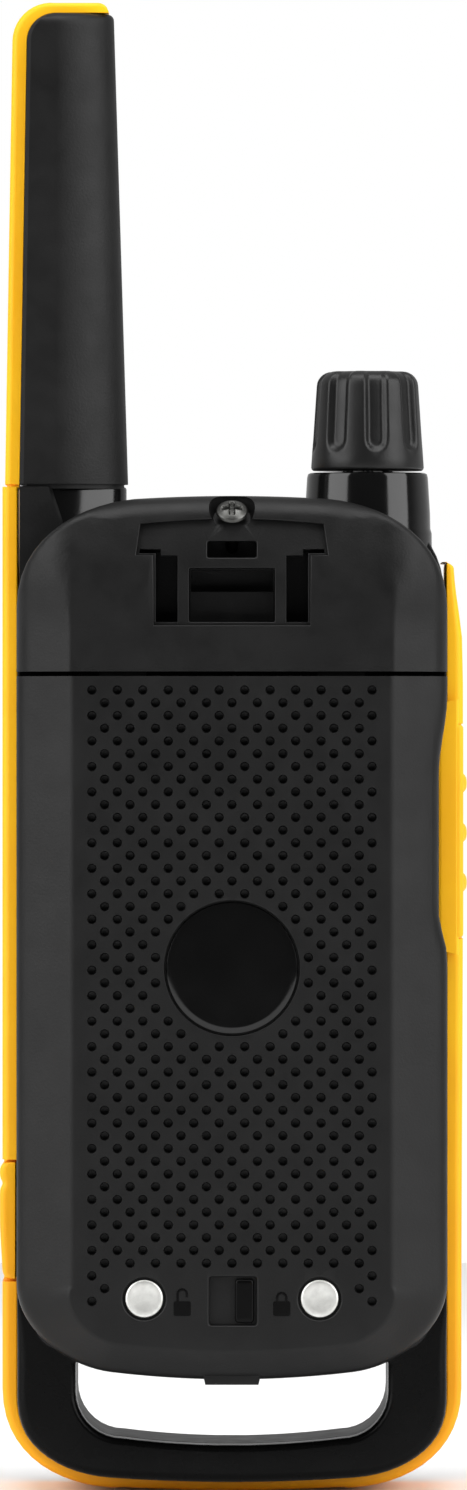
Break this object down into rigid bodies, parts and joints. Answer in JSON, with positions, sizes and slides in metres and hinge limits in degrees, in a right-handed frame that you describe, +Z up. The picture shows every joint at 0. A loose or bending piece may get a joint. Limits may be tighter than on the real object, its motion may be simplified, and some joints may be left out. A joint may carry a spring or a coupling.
{
  "type": "two way radio",
  "caption": "Rugged hand-held two way radio with antenna, volume knob, push-to-talk pad, front keys, battery door with latch, charging contacts and a wrist strap loop.",
  "frame": {"origin": "on the floor under the middle of the case, where its foot stands", "axes": "+Z up along the antenna, +Y out of the battery door, -Y out of the keys, antenna on the +X side"},
  "size_m": [0.0602, 0.0364, 0.192],
  "materials": {
    "bumper_yellow": "fine matt texture",
    "housing_black": "fine spark-eroded texture",
    "gloss_black": "polished",
    "window_dark": "polished",
    "display_grey": "smooth",
    "seal_rubber": "matt",
    "mesh_black": "woven",
    "tinned_steel": "tinned",
    "cone_paper": "pressed paper",
    "magnet_plated": "plated",
    "dome_film": "film",
    "board_green": "solder mask",
    "moulded_dark": "moulded",
    "switch_metal": "plated",
    "screw_steel": "zinc plated",
    "cell_can": "printed sleeve, left blank",
    "contact_nickel": "nickel plated",
    "core_white": "moulded",
    "coil_copper": "drawn wire",
    "knob_black": "moulded, satin",
    "shaft_steel": "turned",
    "pad_yellow": "matt",
    "key_rubber": "matt",
    "latch_black": "satin"
  },
  "bodies": {
    "case": {"front_frame": "bumper_yellow", "antenna_band": "bumper_yellow", "rear_housing": "housing_black", "front_panel": "housing_black", "antenna_sleeve": "housing_black", "antenna_socket": "gloss_black", "knob_collar": "gloss_black", "display_window": "window_dark", "display_module": "display_grey", "housing_seal": "seal_rubber", "door_seal": "seal_rubber", "speaker_mesh": "mesh_black", "speaker_frame": "tinned_steel", "microphone": "tinned_steel", "rf_shield": "tinned_steel", "usb_connector": "tinned_steel", "speaker_cone": "cone_paper", "speaker_magnet": "magnet_plated", "key_domes": "dome_film", "main_board": "board_green", "headset_jack": "moulded_dark", "ptt_switch": "moulded_dark", "volume_switch": "switch_metal", "top_screw": "screw_steel", "housing_screw_1": "screw_steel", "housing_screw_2": "screw_steel", "housing_screw_3": "screw_steel", "housing_screw_4": "screw_steel", "battery_cell_1": "cell_can", "battery_cell_2": "cell_can", "battery_cell_3": "cell_can", "contact_plate_1": "contact_nickel", "contact_plate_2": "contact_nickel", "contact_plate_3": "contact_nickel", "contact_spring_1": "contact_nickel", "contact_spring_2": "contact_nickel", "contact_spring_3": "contact_nickel", "charge_pin_1": "contact_nickel", "charge_pin_2": "contact_nickel", "antenna_core": "core_white", "antenna_coil": "coil_copper", "antenna_feed": "coil_copper"},
    "knob": {"volume_knob": "knob_black", "knob_shaft": "shaft_steel"},
    "talk_pad": {"ptt_button": "pad_yellow"},
    "up_key": {"key_up": "key_rubber"},
    "menu_key": {"key_menu": "key_rubber"},
    "call_key": {"key_call": "key_rubber"},
    "down_key": {"key_down": "key_rubber"},
    "monitor_key": {"key_monitor": "key_rubber"},
    "door": {"battery_door": "housing_black", "charge_contact_left": "contact_nickel", "charge_contact_right": "contact_nickel", "emblem_disc": "gloss_black"},
    "latch": {"battery_latch": "latch_black"},
    "flap": {"port_cover": "pad_yellow"}
  },
  "joints": [
    {"name": "volume_turn", "type": "hinge", "parent": "case", "child": "knob", "pos_m": [-0.0175, 0, 0.132], "axis": [0, 0, -1], "range_deg": [0, 280]},
    {"name": "ptt_press", "type": "slide", "parent": "case", "child": "talk_pad", "axis": [1, 0, 0], "range_m": [0, 0.001], "stiffness_N_per_m": 600, "springref_m": -0.001},
    {"name": "up_press", "type": "slide", "parent": "case", "child": "up_key", "axis": [0, 1, 0], "range_m": [0, 0.0004], "stiffness_N_per_m": 600, "springref_m": -0.001},
    {"name": "menu_press", "type": "slide", "parent": "case", "child": "menu_key", "axis": [0, 1, 0], "range_m": [0, 0.0004], "stiffness_N_per_m": 600, "springref_m": -0.001},
    {"name": "call_press", "type": "slide", "parent": "case", "child": "call_key", "axis": [0, 1, 0], "range_m": [0, 0.0004], "stiffness_N_per_m": 600, "springref_m": -0.001},
    {"name": "down_press", "type": "slide", "parent": "case", "child": "down_key", "axis": [0, 1, 0], "range_m": [0, 0.0004], "stiffness_N_per_m": 600, "springref_m": -0.001},
    {"name": "monitor_press", "type": "slide", "parent": "case", "child": "monitor_key", "axis": [0, 1, 0], "range_m": [0, 0.0004], "stiffness_N_per_m": 600, "springref_m": -0.001},
    {"name": "door_swing", "type": "hinge", "parent": "case", "child": "door", "pos_m": [0, 0.01825, 0.1056], "axis": [1, 0, 0], "range_deg": [0, 70]},
    {"name": "latch_slide", "type": "slide", "parent": "door", "child": "latch", "axis": [1, 0, 0], "range_m": [0, 0.003]},
    {"name": "flap_swing", "type": "hinge", "parent": "case", "child": "flap", "pos_m": [0.0296, 0, 0.027], "axis": [0, 1, 0], "range_deg": [0, 100]}
  ]
}
